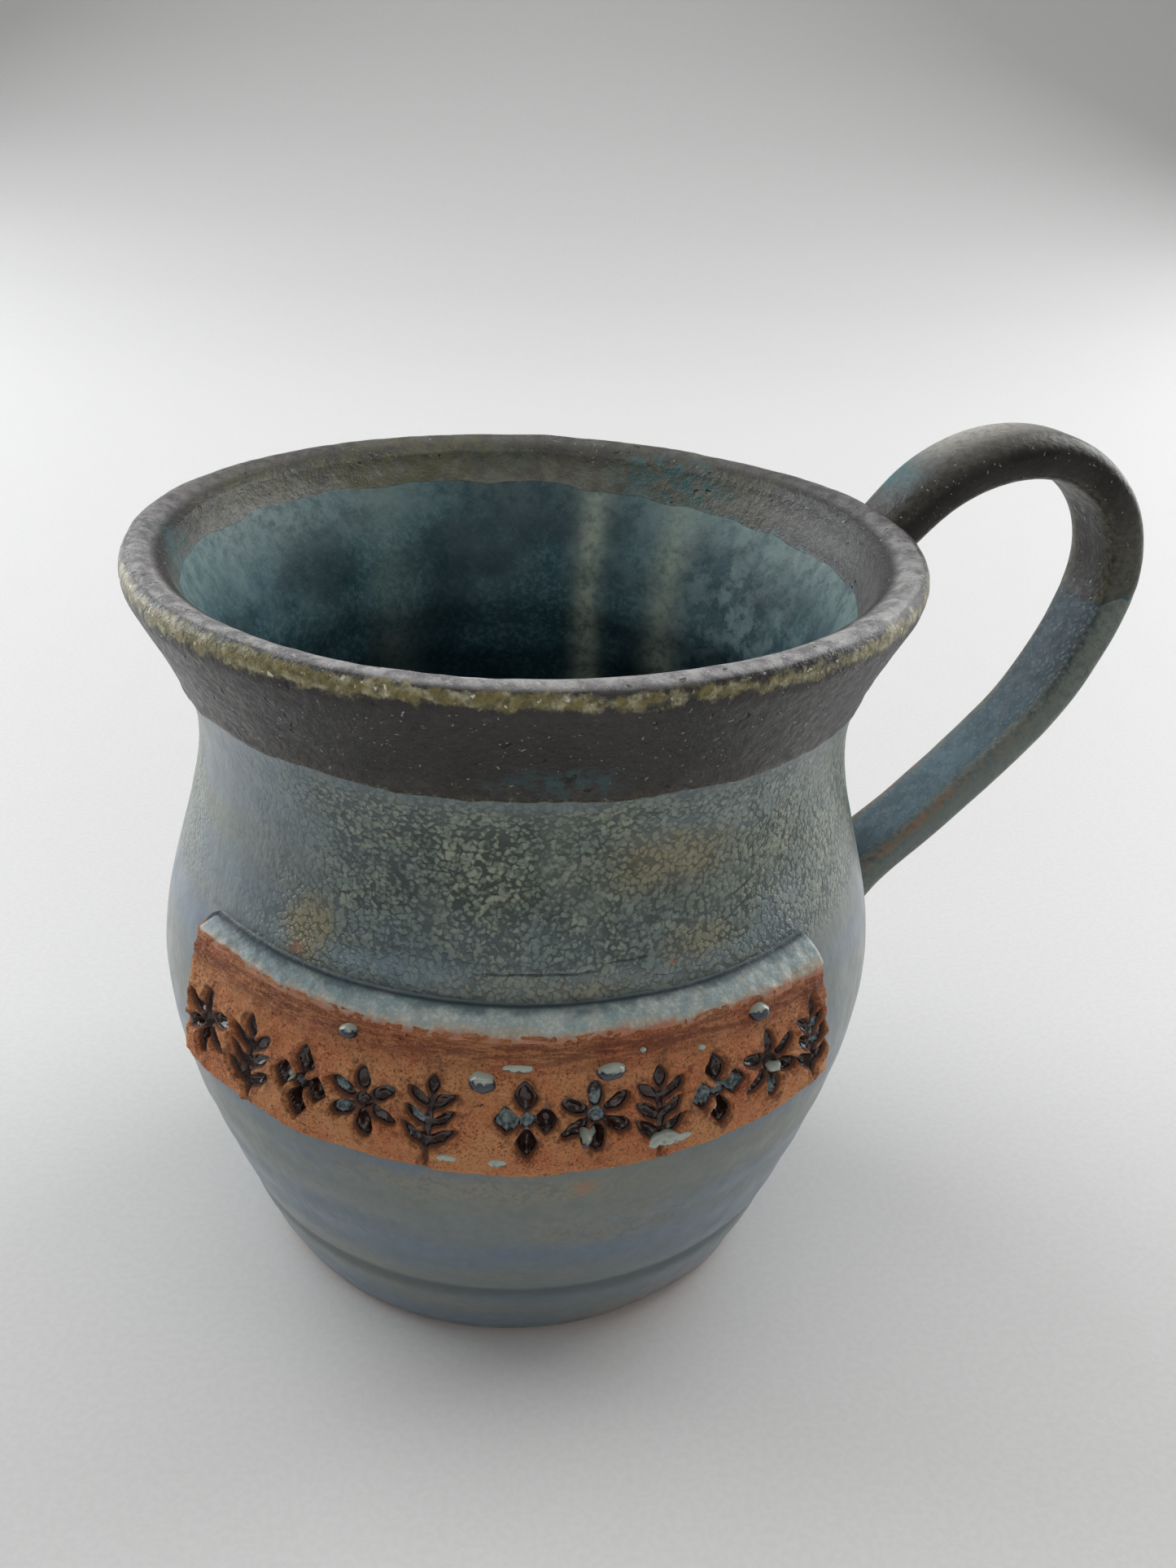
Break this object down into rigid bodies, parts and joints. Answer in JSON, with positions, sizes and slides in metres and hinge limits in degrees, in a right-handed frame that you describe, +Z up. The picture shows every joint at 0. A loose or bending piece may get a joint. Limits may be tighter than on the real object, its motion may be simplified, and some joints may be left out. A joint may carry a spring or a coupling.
{
  "type": "stoneware mug",
  "caption": "Hand-thrown stoneware mug with a round belly, flared lip, pulled strap handle and a bare clay strip stamped with folk motifs.",
  "frame": {"origin": "centre of the flat base, on the vessel's axis, at the level of the table", "axes": "+Z up the vessel's axis, -Y out through the middle of the stamped clay strip, the handle near +X"},
  "size_m": [0.1276, 0.0946, 0.1038],
  "materials": {
    "stoneware_clay": "bare fired stoneware, rust orange, fine grained and matte",
    "blue_glaze": "satin blue-green glaze, mottled with paler grey-green islands and ochre blotches",
    "teal_liner_glaze": "glossy deep teal glaze with pale vertical streaks",
    "dark_glaze": "satin brown-black glaze with fine pale specks, breaking to olive on edges",
    "bare_strip_clay": "bare fired stoneware, grainy, rust orange with darker red-brown flashing",
    "pale_edge_glaze": "thin pale blue-green glaze over a bevelled clay edge",
    "stamp_glaze": "glossy dark brown glaze pooled in stamped impressions",
    "bead_glaze": "glossy grey-blue drops of glaze"
  },
  "bodies": {
    "root": {"mug_body": "stoneware_clay", "outer_glaze": "blue_glaze", "liner_glaze": "teal_liner_glaze", "rim_glaze": "dark_glaze", "handle": "stoneware_clay", "upper_luting_pad": "stoneware_clay", "lower_luting_pad": "stoneware_clay", "handle_dark_glaze": "dark_glaze", "handle_blue_glaze": "blue_glaze", "clay_strip": "bare_strip_clay", "strip_edge_glaze": "pale_edge_glaze", "impression_glaze": "stamp_glaze", "glaze_beads": "bead_glaze"}
  },
  "joints": []
}
